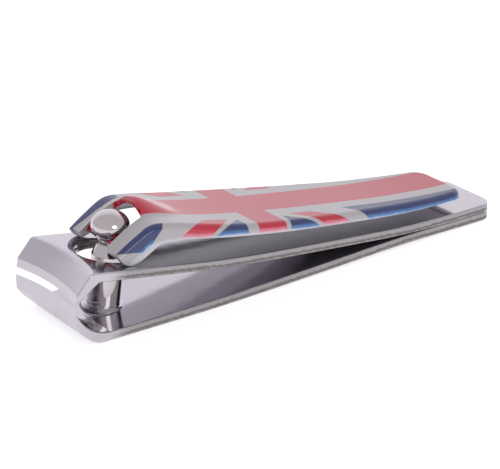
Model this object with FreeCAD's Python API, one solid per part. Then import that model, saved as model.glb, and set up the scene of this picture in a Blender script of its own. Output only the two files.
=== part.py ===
"""Nail clipper: two sprung steel arms, a headed post and a printed sheet lever. Millimetres.

While it is modelled, x runs from the cutting edges (0) to the tail (LENGTH), y is across, z is up
from the table. `export` moves x so that the origin is under the middle of the clipper.
"""
import FreeCAD, Part
import math
import os
from FreeCAD import Vector

# Both arms, stamped from the same strip
LENGTH = 61.2
SHEET = 1.05
HALF_WIDTH_FRONT = 6.4
HALF_WIDTH_MIDDLE = 6.25
HALF_WIDTH_TAIL = 5.0
TAIL_CORNER = 2.1
STAMPED_EDGE = 0.16
PLAN_FRONT_X = -2.0
SIDE_MIN_X = 5.5
SIDE_MIN_Y = 4.0
SHORTEST_LONG_EDGE = 1.3

# Cutting jaws: this much further back in the middle than at the sides
JAW_HOLLOW = 0.85
JAW_OVERREACH = 0.2
JAW_END_X = 13.0
JAW_STATIONS = 9

# Lower arm: flat pad at the front, a slight rise, then down to the tail edge
LOWER_EDGE_Z = 4.35
LOWER_FACET_Z = 2.7
LOWER_BLADE_LOW = (1.05, 1.28)
LOWER_BLADE_TURN = (1.95, 0.56)
LOWER_HEEL_X = 3.75
LOWER_INNER_BEND = (2.4, 1.55)
LOWER_PAD_START_X = 4.25
PAD_END_X = 19.0
PAD_BEND = 300.0
RISE_X = 46.0
RISE_Z = 0.5
RISE_BEND = 200.0
TAIL_SLOPE = RISE_Z / (LENGTH - RISE_X)

# Upper arm: lies on the lower arm at the tail and leaves it at the parting line
PARTING_X = 47.5
PARTING_Z = RISE_Z + SHEET - (PARTING_X - RISE_X) * TAIL_SLOPE
PARTING_BEND = 150.0
UPPER_BEND_X = 21.0
UPPER_BEND_Z = 4.34
UPPER_BEND = 200.0
UPPER_FRONT_SLOPE = math.degrees(math.atan(0.159))
UPPER_EDGE_Z = 5.25
UPPER_FACET = 1.05
UPPER_FACET_BACK = 0.2
FACET_ROUNDING = 0.25
UPPER_BEND_HOLLOW = 1.3
UPPER_OUTER_BEND_X = 2.05
UPPER_OUTER_RADIUS = 0.8
UPPER_INNER_BEND_X = 3.0
UPPER_INNER_RADIUS = 0.6

# Post: leans towards the tail, nearly square to the upper arm
POST_X = 7.25
POST_Z = 1.07
POST_LEAN = 8.0
SHAFT_RADIUS = 1.85
BORE_CLEARANCE = 0.04
FLANGE_RADIUS = 2.4
FLANGE_TOP = -0.3
FLANGE_THICKNESS = 0.42
FLANGE_RECESS_RADIUS = 2.6
FLANGE_RECESS_TOP = -0.26
COLLAR_RISE = 0.3
COLLAR_TOP_RADIUS = 2.2
COLLAR_FOOT_RADIUS = 2.45
COLLAR_ROOT = 0.6
WAIST_RADIUS = 1.3
CONE_START = 6.0
WAIST_START = 7.25
HEAD_CENTRE = 9.27
HEAD_RADIUS = 2.24
HEAD_HALF_HEIGHT = 1.83

# Hole of the upper arm that the post passes
POST_HOLE_RADIUS = 3.5
POST_HOLE_ROUNDING = 0.7

# Notch of the post and the lever's crossbar that turns in it
CROSSBAR_X = 8.1
CROSSBAR_Z = 9.0
CROSSBAR_DEPTH = 1.25
CROSSBAR_HEIGHT = 0.9
CROSSBAR_ROUNDING = 0.42
NOTCH_RADIUS = 0.76

# Lever: a pressed channel, printed on top. Its middle line, the lower edge of its walls, its plan
LEVER_SHEET = 0.8
LEVER_SHOULDER = 0.7
SHOULDER_MIN_Y = 4.0
SHOULDER_SEARCH = 0.4
SHORTEST_SHOULDER = 0.5
LEVER_SPINE = [
    (5.6, 8.55), (7.1, 9.55), (9.1, 10.72), (10.9, 11.45), (12.6, 11.35), (17.0, 10.33),
    (24.0, 8.85), (31.0, 7.65), (38.0, 6.58), (45.0, 5.6), (52.0, 4.88), (58.6, 4.5),
]
LEVER_EDGE = [
    (9.2, 7.95), (10.3, 8.6), (11.4, 9.2), (12.6, 9.4), (14.4, 9.2), (17.0, 8.78), (20.0, 8.25),
    (24.2, 7.58), (28.5, 6.86), (33.0, 6.18), (38.0, 5.43), (43.0, 4.73), (48.0, 4.2), (53.0, 3.85),
    (59.0, 3.5),
]
LEVER_SIDE = [
    (4.6, 5.3), (9.0, 5.45), (13.0, 5.8), (17.0, 6.25), (21.0, 6.55), (25.0, 6.6), (29.0, 6.45),
    (33.0, 6.2), (38.0, 5.85), (43.0, 5.5), (48.0, 5.2), (54.6, 4.6),
]
LEVER_TAIL_X = 56.8
LEVER_TAIL_CORNER = 2.2
SLOT_HALF_WIDTH = 2.75
SLOT_END_X = 11.2
SLOT_CORNER = 0.8

# Nose of the prongs: a spiral about the crossbar, from straight below it to above its front
NOSE_RADIUS_BELOW = 1.4
NOSE_GROWTH = 0.0047
NOSE_LAST_ANGLE = -60
NOSE_STEP = 10

# Hump behind the slot: highest at the slot, gone at its end
HUMP_HEIGHT = 1.55
HUMP_HALF_WIDTH = 3.2
HUMP_FULLNESS = 1.3
HUMP_FULL_X = 11.0
HUMP_END_X = 17.0

# Grid the lever's top is interpolated on, closer together towards the front
GRID_ALONG = 40
GRID_ACROSS = 25
GRID_MARGIN = 0.3
GRID_CROWDING = 1.4

DEEP = 30.0


def point(x, z, y=0.0):
    return Vector(x, y, z)


def rounded_face(corners):
    """Face in the xz plane from (x, z, radius) corners, each rounded by a tangent arc."""
    points = [point(x, z) for x, z, _ in corners]
    ends = []
    edges = []
    for i, (_, _, radius) in enumerate(corners):
        here = points[i]
        to_last = (points[i - 1] - here).normalize()
        to_next = (points[(i + 1) % len(points)] - here).normalize()
        if radius == 0:
            ends.append((here, here))
            continue
        half = to_last.getAngle(to_next) / 2
        start = here + to_last * (radius / math.tan(half))
        end = here + to_next * (radius / math.tan(half))
        inward = (to_last + to_next).normalize()
        middle = here + inward * (radius / math.sin(half) - radius)
        edges.append(Part.Arc(start, middle, end).toShape())
        ends.append((start, end))
    for i, (start, _) in enumerate(ends):
        edges.append(Part.makeLine(ends[i - 1][1], start))
    return Part.Face(Part.Wire(Part.sortEdges(edges)[0]))


def fillet_at(solid, radius, wanted):
    """Fillet every edge whose middle point satisfies `wanted`."""
    edges = [e for e in solid.Edges if wanted(e.CenterOfMass, e)]
    return solid.makeFillet(radius, edges)


def plan_outline(side, tail_x, corner):
    """Vertical prism of a strip with round tail corners; `side` is its (x, half width) points."""
    side_end, half = side[-1]
    diagonal = corner * (1.0 - math.sqrt(0.5))
    edges = []
    for sign in (1, -1):
        curve = Part.BSplineCurve()
        curve.interpolate([Vector(x, sign * y, 0) for x, y in side])
        round_corner = Part.Arc(
            Vector(side_end, sign * half, 0),
            Vector(tail_x - diagonal, sign * (half - diagonal), 0),
            Vector(tail_x, sign * (half - corner), 0),
        )
        edges += [curve.toShape(), round_corner.toShape()]
    front_x, front = side[0]
    edges.append(Part.makeLine(Vector(front_x, -front, 0), Vector(front_x, front, 0)))
    edges.append(Part.makeLine(Vector(tail_x, corner - half, 0), Vector(tail_x, half - corner, 0)))
    wire = Part.Wire(Part.sortEdges(edges)[0])
    return Part.Face(wire).extrude(Vector(0, 0, DEEP))


def arm_plan():
    """Outline of both arms seen from above, reaching past the cutting edges."""
    side_end = LENGTH - TAIL_CORNER
    middle_x = 0.5 * (PLAN_FRONT_X + side_end)
    side = [
        (PLAN_FRONT_X, HALF_WIDTH_FRONT),
        (middle_x, HALF_WIDTH_MIDDLE),
        (side_end, HALF_WIDTH_TAIL),
    ]
    return plan_outline(side, LENGTH, TAIL_CORNER)


def strip(run):
    """Run of an arm behind the jaw, from (x, z, bend radius) points of its underside."""
    above = [(x, z + SHEET, radius) for x, z, radius in reversed(run)]
    face = rounded_face(run + above)
    face.translate(Vector(0, -DEEP / 2, 0))
    return face.extrude(Vector(0, DEEP, 0))


def hollow(y, depth):
    """How far back a jaw lies at `y`, for a hollow `depth` deep in the middle."""
    return depth * (1.0 - (y / HALF_WIDTH_FRONT) ** 2)


def jaw(section):
    """Solid through the jaw sections given by `section(y)`, from side to side."""
    reach = HALF_WIDTH_FRONT + JAW_OVERREACH
    wires = []
    for i in range(JAW_STATIONS):
        y = reach * (2 * i / (JAW_STATIONS - 1) - 1)
        wire = section(y)
        wire.translate(Vector(0, y, 0))
        wires.append(wire)
    return Part.makeLoft(wires, True, False)


def lower_jaw_section(y):
    """Blade, straight heel and pad: only the cutting edge and its facet are hollow."""
    tip = hollow(y, JAW_HOLLOW)
    facet = point(tip, LOWER_FACET_Z)
    heel = point(LOWER_HEEL_X, 0)
    outer = Part.BSplineCurve()
    outer.interpolate([facet, point(*LOWER_BLADE_LOW), point(*LOWER_BLADE_TURN), heel])
    edge = point(tip, LOWER_EDGE_Z)
    bend = point(*LOWER_INNER_BEND)
    pad = point(LOWER_PAD_START_X, SHEET)
    inner = Part.BSplineCurve()
    inner.interpolate([edge, bend, pad])
    back = [pad, point(JAW_END_X, SHEET), point(JAW_END_X, 0), heel]
    edges = [outer.toShape(), Part.makeLine(facet, edge), inner.toShape()]
    return Part.Wire(Part.sortEdges(edges + Part.makePolygon(back).Edges)[0])


def post_frame(shape):
    """Stand a shape made upright at the origin on the post's leaning axis."""
    shape.rotate(Vector(0, 0, 0), Vector(0, 1, 0), POST_LEAN)
    shape.translate(Vector(POST_X, 0, POST_Z))
    return shape


def lower_plate():
    """Lower arm: blade, pad with the post's collar and bore, spring length and tail."""
    run = [
        (JAW_END_X, 0, 0),
        (PAD_END_X, 0, PAD_BEND),
        (RISE_X, RISE_Z, RISE_BEND),
        (LENGTH + 1, -TAIL_SLOPE, 0),
    ]
    arm = jaw(lower_jaw_section).fuse(strip(run))
    arm = arm.common(arm_plan())
    arm = fillet_at(arm, STAMPED_EDGE, is_long_edge)
    cone = Part.makeCone(COLLAR_FOOT_RADIUS, COLLAR_TOP_RADIUS, COLLAR_RISE)
    root = Part.makeCylinder(COLLAR_FOOT_RADIUS, COLLAR_ROOT, point(0, -COLLAR_ROOT))
    recess = Part.makeCylinder(FLANGE_RECESS_RADIUS, DEEP, point(0, FLANGE_RECESS_TOP - DEEP))
    bore = Part.makeCylinder(SHAFT_RADIUS + BORE_CLEARANCE, 2 * DEEP, point(0, -DEEP))
    arm = arm.fuse(post_frame(cone.fuse(root)))
    arm = arm.cut(post_frame(recess)).cut(post_frame(bore))
    return arm.removeSplitter()


def is_long_edge(centre, edge):
    """Edges along the two sides and round the tail, behind the jaws."""
    along_side = abs(centre.y) > SIDE_MIN_Y and centre.x > SIDE_MIN_X
    round_tail = centre.x > LENGTH - TAIL_CORNER
    flat = edge.BoundBox.ZLength < 0.5 * edge.Length
    return flat and edge.Length > SHORTEST_LONG_EDGE and (along_side or round_tail)


def upper_slope(x):
    """Height of the upper arm's underside on its front run."""
    return UPPER_BEND_Z + (UPPER_BEND_X - x) * math.tan(math.radians(UPPER_FRONT_SLOPE))


def upper_jaw_section(y):
    """The run over the post and the blade that turns down from it, both hollow."""
    tip = hollow(y, JAW_HOLLOW)
    outer_bend = UPPER_OUTER_BEND_X + hollow(y, UPPER_BEND_HOLLOW)
    inner_bend = UPPER_INNER_BEND_X + hollow(y, UPPER_BEND_HOLLOW)
    return rounded_face([
        (tip, UPPER_EDGE_Z, 0),
        (tip + UPPER_FACET_BACK, UPPER_EDGE_Z + UPPER_FACET, FACET_ROUNDING),
        (outer_bend, upper_slope(outer_bend) + SHEET, UPPER_OUTER_RADIUS),
        (JAW_END_X, upper_slope(JAW_END_X) + SHEET, 0),
        (JAW_END_X, upper_slope(JAW_END_X), 0),
        (inner_bend, upper_slope(inner_bend), UPPER_INNER_RADIUS),
    ]).OuterWire


def upper_plate():
    """Upper arm: blade, front run with the post's hole, spring length and welded tail."""
    run = [
        (JAW_END_X, upper_slope(JAW_END_X), 0),
        (UPPER_BEND_X, UPPER_BEND_Z, UPPER_BEND),
        (PARTING_X, PARTING_Z, PARTING_BEND),
        (LENGTH + 1, PARTING_Z - (LENGTH + 1 - PARTING_X) * TAIL_SLOPE, 0),
    ]
    arm = jaw(upper_jaw_section).fuse(strip(run))
    arm = arm.common(arm_plan())
    arm = fillet_at(arm, STAMPED_EDGE, is_long_edge)
    return arm.cut(post_hole())


def post_hole():
    """Cutter of the hole the post passes, with a rounded upper rim."""
    lean = math.radians(POST_LEAN)
    fall = math.tan(math.radians(UPPER_FRONT_SLOPE))
    climb = upper_slope(POST_X) + SHEET - POST_Z
    top = climb / (math.cos(lean) + fall * math.sin(lean))
    rim = POST_HOLE_RADIUS + POST_HOLE_ROUNDING
    low = top - POST_HOLE_ROUNDING
    bulge = POST_HOLE_ROUNDING * math.sqrt(0.5)
    corners = [point(rim, top), point(rim, DEEP), point(0, DEEP), point(0, 0)]
    corners += [point(POST_HOLE_RADIUS, 0), point(POST_HOLE_RADIUS, low)]
    rounding = Part.Arc(corners[-1], point(rim - bulge, low + bulge), corners[0])
    edges = Part.makePolygon(corners).Edges + [rounding.toShape()]
    face = Part.Face(Part.Wire(edges))
    return post_frame(face.revolve(Vector(0, 0, 0), Vector(0, 0, 1), 360))


def pivot_post():
    """Post turned as one piece: flange, shaft, cone, waist and head, then notched."""
    profile = [
        point(0, FLANGE_TOP - FLANGE_THICKNESS),
        point(FLANGE_RADIUS, FLANGE_TOP - FLANGE_THICKNESS),
        point(FLANGE_RADIUS, FLANGE_TOP),
        point(SHAFT_RADIUS, FLANGE_TOP),
        point(SHAFT_RADIUS, CONE_START),
        point(WAIST_RADIUS, WAIST_START),
        point(WAIST_RADIUS, HEAD_CENTRE),
        point(0, HEAD_CENTRE),
    ]
    stem = Part.Face(Part.makePolygon(profile + profile[:1]))
    stem = stem.revolve(Vector(0, 0, 0), Vector(0, 0, 1), 360)
    head = Part.makeSphere(1.0)
    squash = FreeCAD.Matrix()
    squash.scale(HEAD_RADIUS, HEAD_RADIUS, HEAD_HALF_HEIGHT)
    head = head.transformGeometry(squash)
    head.translate(Vector(0, 0, HEAD_CENTRE))
    post = post_frame(stem.fuse(head))
    side = point(CROSSBAR_X, CROSSBAR_Z, -DEEP / 2)
    notch = Part.makeCylinder(NOTCH_RADIUS, DEEP, side, Vector(0, 1, 0))
    mouth = Part.makeBox(DEEP, DEEP, 2 * NOTCH_RADIUS, Vector(0, -DEEP / 2, -NOTCH_RADIUS))
    mouth.rotate(Vector(0, 0, 0), Vector(0, 1, 0), POST_LEAN)
    mouth.translate(Vector(CROSSBAR_X, 0, CROSSBAR_Z))
    return post.cut(notch).cut(mouth)


def spine_height(x):
    """Height of the lever's top along its middle, by a smooth curve through the spine."""
    curve = Part.BSplineCurve()
    curve.interpolate([point(*p) for p in LEVER_SPINE])
    low, high = curve.FirstParameter, curve.LastParameter
    for _ in range(40):
        middle = 0.5 * (low + high)
        if curve.value(middle).x < x:
            low = middle
        else:
            high = middle
    return curve.value(low).z


def blend(x, start, end):
    """1 up to `start`, 0 from `end`, smooth between."""
    t = min(max((x - start) / (end - start), 0.0), 1.0)
    return 1.0 - t * t * (3.0 - 2.0 * t)


def hump(x, y):
    """Height of the pressed hump above the lever's top."""
    if abs(y) >= HUMP_HALF_WIDTH:
        return 0.0
    across = math.cos(0.5 * math.pi * y / HUMP_HALF_WIDTH) ** HUMP_FULLNESS
    return HUMP_HEIGHT * blend(x, HUMP_FULL_X, HUMP_END_X) * across


def lever_skin(lift):
    """Smooth surface of the lever's top, moved by `lift`."""
    first, last = LEVER_SPINE[0][0], LEVER_SPINE[-1][0]
    width = max(half for _, half in LEVER_SIDE) + GRID_MARGIN
    rows = []
    for i in range(GRID_ALONG + 1):
        x = first + (last - first) * (i / GRID_ALONG) ** GRID_CROWDING
        height = spine_height(x) + lift
        row = []
        for j in range(GRID_ACROSS):
            y = -width + 2 * width * j / (GRID_ACROSS - 1)
            row.append(Vector(x, y, height + hump(x, y)))
        rows.append(row)
    surface = Part.BSplineSurface()
    surface.interpolate(rows)
    return surface.toShape()


def lever_side():
    """Side view of the lever's lower outline, filled upwards: spiral nose, then the edge."""
    nose = []
    for angle in range(NOSE_LAST_ANGLE, 90 + NOSE_STEP, NOSE_STEP):
        radius = NOSE_RADIUS_BELOW + NOSE_GROWTH * (90 - angle)
        turn = math.radians(angle)
        ahead = radius * math.cos(turn)
        below = radius * math.sin(turn)
        nose.append(point(CROSSBAR_X - ahead, CROSSBAR_Z - below))
    outline = Part.BSplineCurve()
    outline.interpolate(nose + [point(x, z) for x, z in LEVER_EDGE])
    start, end = nose[0], point(*LEVER_EDGE[-1])
    above = [end, point(end.x, DEEP), point(start.x, DEEP), start]
    face = Part.Face(Part.Wire([outline.toShape()] + Part.makePolygon(above).Edges))
    face.translate(Vector(0, -DEEP / 2, 0))
    return face.extrude(Vector(0, DEEP, 0))


def lever_plan(inset):
    """Outline of the lever seen from above, `inset` inside its outer walls."""
    side = [(x, half - inset) for x, half in LEVER_SIDE]
    return plan_outline(side, LEVER_TAIL_X - inset, LEVER_TAIL_CORNER - inset)


def is_lever_shoulder(centre, edge):
    """Edges between the lever's top and its outer walls."""
    x = min(max(centre.x, LEVER_SPINE[0][0]), LEVER_SPINE[-1][0])
    on_top = centre.z > spine_height(x) - SHOULDER_SEARCH
    at_rim = abs(centre.y) > SHOULDER_MIN_Y or centre.x > LEVER_TAIL_X - LEVER_TAIL_CORNER
    return on_top and at_rim and edge.Length > SHORTEST_SHOULDER


def lever():
    """Lever: channel with rolled shoulders, two prongs with a slot for the head, and crossbar."""
    down = Vector(0, 0, -DEEP)
    body = lever_skin(0).extrude(down).common(lever_plan(0)).common(lever_side())
    body = fillet_at(body, LEVER_SHOULDER, is_lever_shoulder)
    cavity = lever_skin(-LEVER_SHEET).extrude(down).common(lever_plan(LEVER_SHEET))
    return body.cut(cavity).cut(head_slot()).fuse(crossbar())


def head_slot():
    """Cutter of the slot between the prongs, open at the front and round in its corners."""
    corner = point(SLOT_END_X - DEEP, 0, -SLOT_HALF_WIDTH)
    slot = Part.makeBox(DEEP, 2 * SLOT_HALF_WIDTH, DEEP, corner)
    at_end = lambda c, e: c.x == SLOT_END_X and abs(c.y) == SLOT_HALF_WIDTH
    return fillet_at(slot, SLOT_CORNER, at_end)


def crossbar():
    """Bar from prong to prong that the post's notch turns on."""
    reach = LEVER_SIDE[0][1] - LEVER_SHEET / 2
    depth = CROSSBAR_DEPTH / 2
    height = CROSSBAR_HEIGHT / 2
    corners = [(-depth, -height), (-depth, height), (depth, height), (depth, -height)]
    bar = rounded_face([(CROSSBAR_X + x, CROSSBAR_Z + z, CROSSBAR_ROUNDING) for x, z in corners])
    bar.translate(Vector(0, -reach, 0))
    return bar.extrude(Vector(0, 2 * reach, 0))


def export(node, shape):
    solid = shape.copy()
    solid.translate(Vector(-LENGTH / 2, 0, 0))
    solids = solid.Solids
    assert len(solids) == 1, (node, len(solids))
    assert solids[0].isValid(), node
    solids[0].exportStep(f"parts/{node}.step")
    box = solids[0].optimalBoundingBox()
    print(node, f"{solids[0].Volume:.1f} mm3",
          f"x {box.XMin:.2f}..{box.XMax:.2f} y {box.YMin:.2f}..{box.YMax:.2f}",
          f"z {box.ZMin:.2f}..{box.ZMax:.2f}")


def main():
    os.makedirs("parts", exist_ok=True)
    export("lower_plate", lower_plate())
    export("upper_plate", upper_plate())
    export("pivot_post", pivot_post())
    export("lever", lever())


main()
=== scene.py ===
"""Looks of the nail clipper: plated steel, printed lacquer, white studio and camera, around the frame.

Inside the materials, lengths are millimetres with x running from the cutting edges to the tail.
Colours are linear. A pair of colours or numbers is a range that noise runs through.
"""
import bpy
import math
from mathutils import Matrix, Vector

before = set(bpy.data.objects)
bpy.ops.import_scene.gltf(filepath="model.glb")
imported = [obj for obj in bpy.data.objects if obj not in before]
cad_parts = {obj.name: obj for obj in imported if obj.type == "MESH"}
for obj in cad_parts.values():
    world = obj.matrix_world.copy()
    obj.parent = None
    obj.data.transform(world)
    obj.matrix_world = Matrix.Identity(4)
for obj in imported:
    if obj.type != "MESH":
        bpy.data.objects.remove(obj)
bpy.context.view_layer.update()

# Where the part's own millimetres lie in the frame
HALF_LENGTH = 30.6
PER_METRE = 1000.0

# Arms: sheet thickness, undersides as (x, z) behind the jaws, and where each blade's satin ends
SHEET = 1.05
LOWER_UNDERSIDE = [(19.0, 0.0), (46.0, 0.5), (61.2, 0.0)]
UPPER_UNDERSIDE = [(1.0, 7.52), (21.0, 4.34), (47.5, 1.5), (61.2, 1.05)]
LOWER_BLADE_END = 2.2
UPPER_BLADE_END = 2.6
BLADE_SOFTNESS = 0.5
JAW_BACK = (4.0, 7.0)
SIDEWAYS = (0.60, 0.85)

# The torn band in the sheared edges, as fractions of the sheet's depth
TORN_TOP = (0.12, 0.3)
TORN_BOTTOM = (0.6, 0.42)
TORN_RAGGED = 0.5

# Noise: features per millimetre, and how the grain is drawn out along each axis
ARM_MOTTLE = 0.35
ARM_SPECK = 4.0
GRAIN_STRETCH = (0.5, 7.0, 7.0)
GRAIN_DETAIL = 4.0
GRAIN_RELIEF = 0.02
RAGGED_STRETCH = (2.2, 1.0, 3.0)
RAGGED_SCALE = 0.8
POST_MOTTLE = 0.8
RINGS_PER_MM = 9.0
RING_MOTTLE = 0.4
PEEL_SCALE = 0.9
LACQUER_SPECK = 5.0
SPECK_RELIEF = 0.05
WANDER_SCALE = 1.6
FINE_DETAIL = 2.0

# Relief, in metres
ARM_WAVES = 0.00002
ARM_SCRATCHES = 0.00003
POST_RELIEF = 0.000003
LACQUER_RELIEF = 0.000006

ARM_POLISHED = ((0.46, 0.435, 0.475, 1), (0.53, 0.505, 0.55, 1))
ARM_SHEARED = ((0.27, 0.255, 0.258, 1), (0.40, 0.375, 0.382, 1))
ARM_TORN = (0.19, 0.17, 0.172, 1)
POST_STEEL = ((0.47, 0.435, 0.44, 1), (0.56, 0.515, 0.52, 1))
CHANNEL_STEEL = ((0.36, 0.37, 0.38, 1), (0.46, 0.47, 0.48, 1))
ARM_METALLIC = 0.93
LACQUER_IOR = 1.58

POLISHED_ROUGHNESS = (0.07, 0.15)
BLADE_ROUGHNESS = (0.24, 0.34)
SHEARED_ROUGHNESS = 0.38
TORN_ROUGHNESS = 0.55
POST_ROUGHNESS = (0.04, 0.10)
LACQUER_ROUGHNESS = (0.10, 0.16)
CHANNEL_ROUGHNESS = 0.42

# The print lies turned on the lever, about its front
PRINT_TURN = math.radians(1.3)
PRINT_CENTRE = Vector((7.9 - HALF_LENGTH, 0, 0))

# Top of the lever along its middle: (x, z), and the curve's (x, x, z, z) limits
LEVER_SPINE = [
    (5.6, 8.55), (7.1, 9.55), (9.1, 10.72), (10.9, 11.45), (12.6, 11.35), (17.0, 10.33),
    (24.0, 8.85), (31.0, 7.65), (38.0, 6.58), (45.0, 5.6), (52.0, 4.88), (58.6, 4.5),
]
SPINE_BOX = (5.0, 60.0, 4.0, 12.0)

WHITE_INK = (0.375, 0.355, 0.365, 1)
RED_INK = (0.44, 0.012, 0.034, 1)
NAVY_INK = (0.02, 0.03, 0.115, 1)
THIN_NAVY = (0.035, 0.17, 0.42, 1)
THIN_RED = (0.60, 0.20, 0.27, 1)
EDGE_GREY = (0.50, 0.50, 0.55, 1)

# The ink thins, then shows bare edge, over these drops below the spine. The sides of the hump fall
# away further before they thin, by up to HUMP_DROP
THIN_DROP = (0.4, 0.95)
BARE_DROP = (0.85, 1.15)
MOST_BARE = 0.85
HUMP_X = (24.0, 9.0)
HUMP_DROP = 0.9
THIN_WANDER = 0.3

# The print: x along the lever and s over its top and down its wall, towards each side
STRIPE_HALF_WIDTH = 2.65
CROSS_BAR = (23.85, 27.8)
INK_SOFTNESS = 0.07
INK_WANDER = 0.04
MIDDLE_BLEND = 0.05
NEAR_NAVY = [
    [(6.1, 4.6), (10.7, 4.87), (12.4, 5.26), (11.5, 6.2), (11.1, 7.3), (10.3, 7.9), (9.5, 7.8), (7.2, 5.9)],
    [(22.2, 4.95), (18.1, 8.0), (22.4, 8.0)],
    [(28.6, 4.85), (33.1, 8.0), (28.4, 8.0)],
    [(37.9, 4.35), (62.0, 4.4), (62.0, 9.0), (41.6, 9.0)],
]
NEAR_RED = [
    [(30.0, 4.4), (33.15, 4.5), (38.0, 8.0), (33.8, 8.0)],
    [(17.55, 4.7), (21.1, 4.7), (17.4, 8.0), (13.5, 8.0)],
]
FAR_NAVY = [
    [(6.0, 4.6), (7.5, 4.08), (10.9, 3.62), (12.2, 3.9), (12.6, 6.0), (10.0, 8.0), (6.0, 8.0)],
    [(22.45, 5.05), (22.4, 8.0), (15.8, 8.0)],
    [(28.95, 4.75), (28.9, 8.0), (34.5, 8.0)],
    [(37.9, 4.35), (62.0, 4.3), (62.0, 9.0), (42.0, 9.0)],
]
FAR_RED = [
    [(17.9, 3.85), (21.45, 4.15), (16.7, 8.0), (9.5, 8.0)],
    [(30.2, 4.35), (33.6, 4.25), (39.4, 8.0), (35.3, 8.0)],
]

# The lever's crossbar: centre (x, z), radius and half length, each as a soft limit
CROSSBAR_PLACE = (8.1, 9.0)
CROSSBAR_RADIUS = (0.95, 0.85)
CROSSBAR_HALF_LENGTH = (4.3, 4.25)

# What counts as the inside of the lever's channel
FACING_INWARD = (-0.2, -0.4)
WALL_PLACE = (3.3, 3.5)
FACING_DOWN = (-0.3, -0.5)

CAMERA_PLACE = (-0.12825, -0.17305, 0.09558)
CAMERA_AIM = (-0.0021, 0.00145, 0.0037)
CAMERA_LENS = 144.0
CAMERA_SENSOR = 36.0
CAMERA_NEAR = 0.005

FLOOR_HALF_SIDE = 3.0
FLOOR_WHITE = (0.86, 0.86, 0.86, 1)
FLOOR_ROUGHNESS = 0.9
FLOOR_GLOW = 0.5

KEY_PLACE = (-0.055, -0.46, 0.21)
KEY_AIM = (-0.02, 0, 0.01)
KEY_SIZE = 0.24
KEY_ENERGY = 0.3

WORLD_TINT = (1.0, 0.985, 1.03, 1)
BACKDROP_DIRECTION = (0.586, 0.81, 0.0)
BACKDROP_EDGE = (0.35, 0.75)
WORLD_STRENGTHS = (0.78, 1.15)


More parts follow.
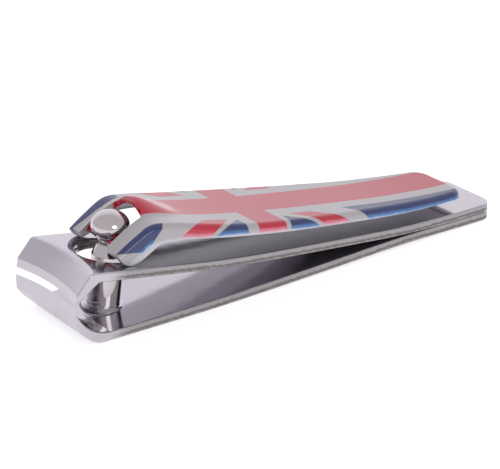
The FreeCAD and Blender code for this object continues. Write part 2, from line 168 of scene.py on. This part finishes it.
class Graph:
    """A Principled material and short ways to wire nodes into it."""

    def __init__(self, name):
        self.material = bpy.data.materials.new(name)
        self.material.use_nodes = True
        self.nodes = self.material.node_tree.nodes
        self.links = self.material.node_tree.links
        self.shader = self.nodes["Principled BSDF"]

    def put(self, socket, value):
        if isinstance(value, bpy.types.NodeSocket):
            self.links.new(value, socket)
        else:
            socket.default_value = value

    def set(self, name, value):
        self.put(self.shader.inputs[name], value)

    def math(self, operation, *values):
        node = self.nodes.new("ShaderNodeMath")
        node.operation = operation
        for socket, value in zip(node.inputs, values):
            self.put(socket, value)
        return node.outputs[0]

    def dot(self, vector, constant):
        node = self.nodes.new("ShaderNodeVectorMath")
        node.operation = "DOT_PRODUCT"
        self.put(node.inputs[0], vector)
        node.inputs[1].default_value = constant
        return node.outputs["Value"]

    def length(self, vector):
        node = self.nodes.new("ShaderNodeVectorMath")
        node.operation = "LENGTH"
        self.put(node.inputs[0], vector)
        return node.outputs["Value"]

    def step(self, value, start, end, low=0.0, high=1.0):
        """Smooth change from `low` at `start` to `high` at `end`."""
        node = self.nodes.new("ShaderNodeMapRange")
        node.interpolation_type = "SMOOTHSTEP"
        for socket, number in zip(node.inputs, (value, start, end, low, high)):
            self.put(socket, number)
        return node.outputs[0]

    def within(self, value, limit, softness):
        """1 below `limit`, 0 above it."""
        return self.step(value, limit + softness, limit - softness)

    def blend(self, factor, first, second):
        """Colour from `first` at 0 to `second` at 1."""
        node = self.nodes.new("ShaderNodeMix")
        node.data_type = "RGBA"
        self.put(node.inputs[0], factor)
        self.put(node.inputs[6], first)
        self.put(node.inputs[7], second)
        return node.outputs[2]

    def number(self, factor, first, second):
        """Number from `first` at 0 to `second` at 1."""
        node = self.nodes.new("ShaderNodeMix")
        self.put(node.inputs[0], factor)
        self.put(node.inputs[2], first)
        self.put(node.inputs[3], second)
        return node.outputs[0]

    def noise(self, place, scale, detail=3.0):
        """Even noise, 0 to 1, over a place in millimetres, with `scale` features per millimetre."""
        node = self.nodes.new("ShaderNodeTexNoise")
        node.inputs["Scale"].default_value = scale
        node.inputs["Detail"].default_value = detail
        self.put(node.inputs["Vector"], place)
        return node.outputs[0]

    def bump(self, height, depth, normal=None):
        """Relief of `depth` metres where `height` is 1."""
        node = self.nodes.new("ShaderNodeBump")
        node.inputs["Strength"].default_value = 1.0
        node.inputs["Distance"].default_value = depth
        self.put(node.inputs["Height"], height)
        if normal is not None:
            self.put(node.inputs["Normal"], normal)
        return node.outputs[0]

    def place(self, turn=0.0):
        """Place on the part in millimetres, turned back about the print's centre by `turn`."""
        back = Matrix.Rotation(-turn, 3, "Z")
        shift = PRINT_CENTRE - back @ PRINT_CENTRE
        node = self.nodes.new("ShaderNodeMapping")
        self.links.new(self.nodes.new("ShaderNodeTexCoord").outputs["Object"], node.inputs[0])
        node.inputs["Location"].default_value = shift + Vector((HALF_LENGTH, 0, 0))
        node.inputs["Rotation"].default_value = (0, 0, -turn)
        node.inputs["Scale"].default_value = (PER_METRE, PER_METRE, PER_METRE)
        return node.outputs[0]

    def stretched(self, place, scale):
        """The same place, scaled by a different number along each axis."""
        node = self.nodes.new("ShaderNodeMapping")
        self.put(node.inputs[0], place)
        node.inputs["Scale"].default_value = scale
        return node.outputs[0]

    def split(self, vector):
        node = self.nodes.new("ShaderNodeSeparateXYZ")
        self.put(node.inputs[0], vector)
        return node.outputs[0], node.outputs[1], node.outputs[2]

    def join(self, x, y, z):
        node = self.nodes.new("ShaderNodeCombineXYZ")
        for socket, value in zip(node.inputs, (x, y, z)):
            self.put(socket, value)
        return node.outputs[0]

    def facing(self):
        """The surface's direction on the part."""
        return self.split(self.nodes.new("ShaderNodeTexCoord").outputs["Normal"])

    def line(self, x, start, end):
        """Height of the straight line through two (x, z) points."""
        slope = (end[1] - start[1]) / (end[0] - start[0])
        return self.math("MULTIPLY_ADD", x, slope, start[1] - slope * start[0])

    def shape(self, plane, corners):
        """1 inside a convex shape of (x, s) corners, 0 outside, over a (x, s, 1) vector."""
        middle = sum((Vector(c) for c in corners), Vector((0, 0))) / len(corners)
        inside = None
        for i, corner in enumerate(corners):
            start = Vector(corners[i - 1])
            run = Vector(corner) - start
            across = Vector((-run.y, run.x)).normalized()
            if across.dot(middle - start) < 0:
                across = -across
            distance = self.dot(plane, (across.x, across.y, -across.dot(start)))
            inside = distance if inside is None else self.math("MINIMUM", inside, distance)
        return self.step(inside, -INK_SOFTNESS, INK_SOFTNESS)

    def any(self, masks):
        total = masks[0]
        for mask in masks[1:]:
            total = self.math("MAXIMUM", total, mask)
        return total


def set_material(node_name, graph):
    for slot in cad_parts[node_name].material_slots:
        slot.material = graph.material


def lower_underside(graph, x):
    """Height of the lower arm's underside behind its jaw."""
    front, top, tail = LOWER_UNDERSIDE
    arch = graph.math("MINIMUM", graph.line(x, front, top), graph.line(x, top, tail))
    return graph.math("MAXIMUM", arch, 0.0)


def upper_underside(graph, x):
    """Height of the upper arm's underside behind its jaw."""
    front, bend, parting, tail = UPPER_UNDERSIDE
    runs = [(front, bend), (bend, parting), (parting, tail)]
    return graph.any([graph.line(x, start, end) for start, end in runs])


def arm_steel(name, underside, blade_end):
    """Plated spring steel: polished faces, satin blade, and sheared edges with a torn middle band."""
    g = Graph(name)
    place = g.place()
    x, _, z = g.split(place)
    mottle = g.noise(place, ARM_MOTTLE)
    grain = g.noise(g.stretched(place, GRAIN_STRETCH), 1.0, GRAIN_DETAIL)
    speck = g.noise(place, ARM_SPECK, FINE_DETAIL)
    ragged = g.noise(g.stretched(place, RAGGED_STRETCH), RAGGED_SCALE, GRAIN_DETAIL)

    side = g.step(g.math("ABSOLUTE", g.facing()[1]), *SIDEWAYS)
    side = g.math("MULTIPLY", side, g.step(x, *JAW_BACK))
    depth = g.math("DIVIDE", g.math("SUBTRACT", z, underside(g, x)), SHEET)
    depth = g.math("MULTIPLY_ADD", g.math("SUBTRACT", ragged, 0.5), TORN_RAGGED, depth)
    torn = g.math("MULTIPLY", g.step(depth, *TORN_TOP), g.step(depth, *TORN_BOTTOM))
    torn = g.math("MULTIPLY", torn, side)
    blade = g.step(x, blade_end, blade_end - BLADE_SOFTNESS)

    colour = g.blend(side, g.blend(mottle, *ARM_POLISHED), g.blend(speck, *ARM_SHEARED))
    g.set("Base Color", g.blend(torn, colour, ARM_TORN))
    g.set("Metallic", ARM_METALLIC)
    roughness = g.number(blade, g.number(grain, *POLISHED_ROUGHNESS), g.number(grain, *BLADE_ROUGHNESS))
    roughness = g.number(side, roughness, SHEARED_ROUGHNESS)
    g.set("Roughness", g.number(torn, roughness, TORN_ROUGHNESS))

    relief = g.number(side, g.math("MULTIPLY", grain, GRAIN_RELIEF), ragged)
    g.set("Normal", g.bump(relief, ARM_SCRATCHES, g.bump(mottle, ARM_WAVES)))
    return g


def post_chrome():
    """Turned and plated post: bright, with faint turning rings."""
    g = Graph("post_chrome")
    place = g.place()
    z = g.split(place)[2]
    mottle = g.noise(place, POST_MOTTLE)
    rings = g.noise(g.join(0.0, 0.0, g.math("MULTIPLY", z, RINGS_PER_MM)), 1.0, FINE_DETAIL)
    g.set("Base Color", g.blend(mottle, *POST_STEEL))
    g.set("Metallic", 1.0)
    g.set("Roughness", g.number(rings, *POST_ROUGHNESS))
    g.set("Normal", g.bump(g.math("MULTIPLY_ADD", mottle, RING_MOTTLE, rings), POST_RELIEF))
    return g


def spine_height(g, x):
    """Height of the lever's top along its middle."""
    left, right, low, high = SPINE_BOX
    node = g.nodes.new("ShaderNodeFloatCurve")
    curve = node.mapping.curves[0]
    points = [((px - left) / (right - left), (pz - low) / (high - low)) for px, pz in LEVER_SPINE]
    curve.points[0].location = points[0]
    curve.points[1].location = points[-1]
    for location in points[1:-1]:
        curve.points.new(*location)
    node.mapping.extend = "EXTRAPOLATED"
    node.mapping.update()
    g.put(node.inputs["Value"], g.math("DIVIDE", g.math("SUBTRACT", x, left), right - left))
    return g.math("MULTIPLY_ADD", node.outputs[0], high - low, low)


def print_masks(g, x, y, across, s):
    """Where the red and where the navy ink lie. The rest is white."""
    near = g.join(x, g.math("MULTIPLY", g.step(y, MIDDLE_BLEND, -MIDDLE_BLEND), s), 1.0)
    far = g.join(x, g.math("MULTIPLY", g.step(y, -MIDDLE_BLEND, MIDDLE_BLEND), s), 1.0)
    stripe = g.within(across, STRIPE_HALF_WIDTH, INK_SOFTNESS)
    from_bar = g.math("ABSOLUTE", g.math("SUBTRACT", x, sum(CROSS_BAR) / 2))
    bar = g.within(from_bar, (CROSS_BAR[1] - CROSS_BAR[0]) / 2, INK_SOFTNESS)
    near_red = [g.shape(near, corners) for corners in NEAR_RED]
    far_red = [g.shape(far, corners) for corners in FAR_RED]
    near_navy = [g.shape(near, corners) for corners in NEAR_NAVY]
    far_navy = [g.shape(far, corners) for corners in FAR_NAVY]
    return g.any([stripe, bar] + near_red + far_red), g.any(near_navy + far_navy)


def ink_colour(g, x, drop, wander, red, navy):
    """The three inks, running thin and then bare towards the walls' lower edges."""
    fade = g.math("MULTIPLY_ADD", wander, THIN_WANDER, drop)
    fade = g.math("SUBTRACT", fade, g.step(x, *HUMP_X, 0.0, HUMP_DROP))
    thin = g.step(fade, *THIN_DROP)
    bare = g.step(fade, *BARE_DROP, 0.0, MOST_BARE)
    colour = g.blend(navy, WHITE_INK, g.blend(thin, NAVY_INK, THIN_NAVY))
    colour = g.blend(red, colour, g.blend(thin, RED_INK, THIN_RED))
    return g.blend(bare, colour, EDGE_GREY)


def crossbar_mask(g, x, z, across):
    """The lever's crossbar, which took the red all round."""
    bar_x, bar_z = CROSSBAR_PLACE
    from_middle = g.length(g.join(g.math("SUBTRACT", x, bar_x), 0.0, g.math("SUBTRACT", z, bar_z)))
    return g.math("MULTIPLY", g.step(from_middle, *CROSSBAR_RADIUS), g.step(across, *CROSSBAR_HALF_LENGTH))


def channel_mask(g, y, across, crossbar):
    """The inside of the lever's channel, which stayed bare."""
    _, facing_y, facing_z = g.facing()
    inward = g.math("MULTIPLY", facing_y, g.math("SIGN", y))
    inner_wall = g.math("MULTIPLY", g.step(inward, *FACING_INWARD), g.step(across, *WALL_PLACE))
    inside = g.math("MAXIMUM", inner_wall, g.step(facing_z, *FACING_DOWN))
    return g.math("MULTIPLY", inside, g.math("SUBTRACT", 1.0, crossbar))


def lever_print():
    """Lever: red, white and navy crossed stripes in lacquer outside, bare steel inside."""
    g = Graph("lever_print")
    place = g.place(PRINT_TURN)
    x, y, z = g.split(place)
    across = g.math("ABSOLUTE", y)
    drop = g.math("MAXIMUM", g.math("SUBTRACT", spine_height(g, x), z), 0.0)
    wander = g.math("SUBTRACT", g.noise(place, WANDER_SCALE), 0.5)
    s = g.math("MULTIPLY_ADD", wander, INK_WANDER, g.math("ADD", across, drop))
    red, navy = print_masks(g, x, y, across, s)
    crossbar = crossbar_mask(g, x, z, across)
    inside = channel_mask(g, y, across, crossbar)

    peel = g.noise(place, PEEL_SCALE)
    speck = g.noise(place, LACQUER_SPECK, FINE_DETAIL)
    colour = g.blend(crossbar, ink_colour(g, x, drop, wander, red, navy), RED_INK)
    g.set("Base Color", g.blend(inside, colour, g.blend(peel, *CHANNEL_STEEL)))
    g.set("Metallic", inside)
    g.set("Roughness", g.number(inside, g.number(speck, *LACQUER_ROUGHNESS), CHANNEL_ROUGHNESS))
    g.set("IOR", LACQUER_IOR)
    g.set("Normal", g.bump(g.math("MULTIPLY_ADD", speck, SPECK_RELIEF, peel), LACQUER_RELIEF))
    return g


def make_camera():
    data = bpy.data.cameras.new("camera")
    data.sensor_width = CAMERA_SENSOR
    data.lens = CAMERA_LENS
    data.clip_start = CAMERA_NEAR
    camera = bpy.data.objects.new("camera", data)
    bpy.context.scene.collection.objects.link(camera)
    camera.location = CAMERA_PLACE
    camera.rotation_euler = (Vector(CAMERA_AIM) - camera.location).to_track_quat("-Z", "Y").to_euler()
    bpy.context.scene.camera = camera


def make_floor():
    """White sweep, bright enough to leave no edge and hardly any shadow."""
    mesh = bpy.data.meshes.new("floor")
    s = FLOOR_HALF_SIDE
    mesh.from_pydata([(-s, -s, 0), (s, -s, 0), (s, s, 0), (-s, s, 0)], [], [(0, 1, 2, 3)])
    floor = bpy.data.objects.new("floor", mesh)
    bpy.context.scene.collection.objects.link(floor)
    g = Graph("floor_white")
    g.set("Base Color", FLOOR_WHITE)
    g.set("Roughness", FLOOR_ROUGHNESS)
    g.set("Emission Color", (1, 1, 1, 1))
    g.set("Emission Strength", FLOOR_GLOW)
    mesh.materials.append(g.material)


def make_key_light():
    """Weak round light on the camera's side."""
    data = bpy.data.lights.new("key", "AREA")
    data.shape = "DISK"
    data.size = KEY_SIZE
    data.energy = KEY_ENERGY
    light = bpy.data.objects.new("key", data)
    light.location = KEY_PLACE
    light.rotation_euler = (Vector(KEY_AIM) - Vector(KEY_PLACE)).to_track_quat("-Z", "Y").to_euler()
    bpy.context.scene.collection.objects.link(light)


def make_world():
    """Soft white surroundings, brighter on the side of the backdrop."""
    world = bpy.data.worlds.new("studio")
    bpy.context.scene.world = world
    world.use_nodes = True
    nodes = world.node_tree.nodes
    links = world.node_tree.links
    background = nodes["Background"]
    background.inputs["Color"].default_value = WORLD_TINT
    where = nodes.new("ShaderNodeTexCoord")
    towards = nodes.new("ShaderNodeVectorMath")
    towards.operation = "DOT_PRODUCT"
    towards.inputs[1].default_value = BACKDROP_DIRECTION
    links.new(where.outputs["Generated"], towards.inputs[0])
    strength = nodes.new("ShaderNodeMapRange")
    strength.interpolation_type = "SMOOTHSTEP"
    for socket, value in zip(list(strength.inputs)[1:], BACKDROP_EDGE + WORLD_STRENGTHS):
        socket.default_value = value
    links.new(towards.outputs["Value"], strength.inputs[0])
    links.new(strength.outputs[0], background.inputs["Strength"])


bpy.context.scene.view_settings.view_transform = "Standard"
make_camera()
make_floor()
make_world()
make_key_light()
set_material("lower_plate", arm_steel("lower_arm_steel", lower_underside, LOWER_BLADE_END))
set_material("upper_plate", arm_steel("upper_arm_steel", upper_underside, UPPER_BLADE_END))
set_material("pivot_post", post_chrome())
set_material("lever", lever_print())
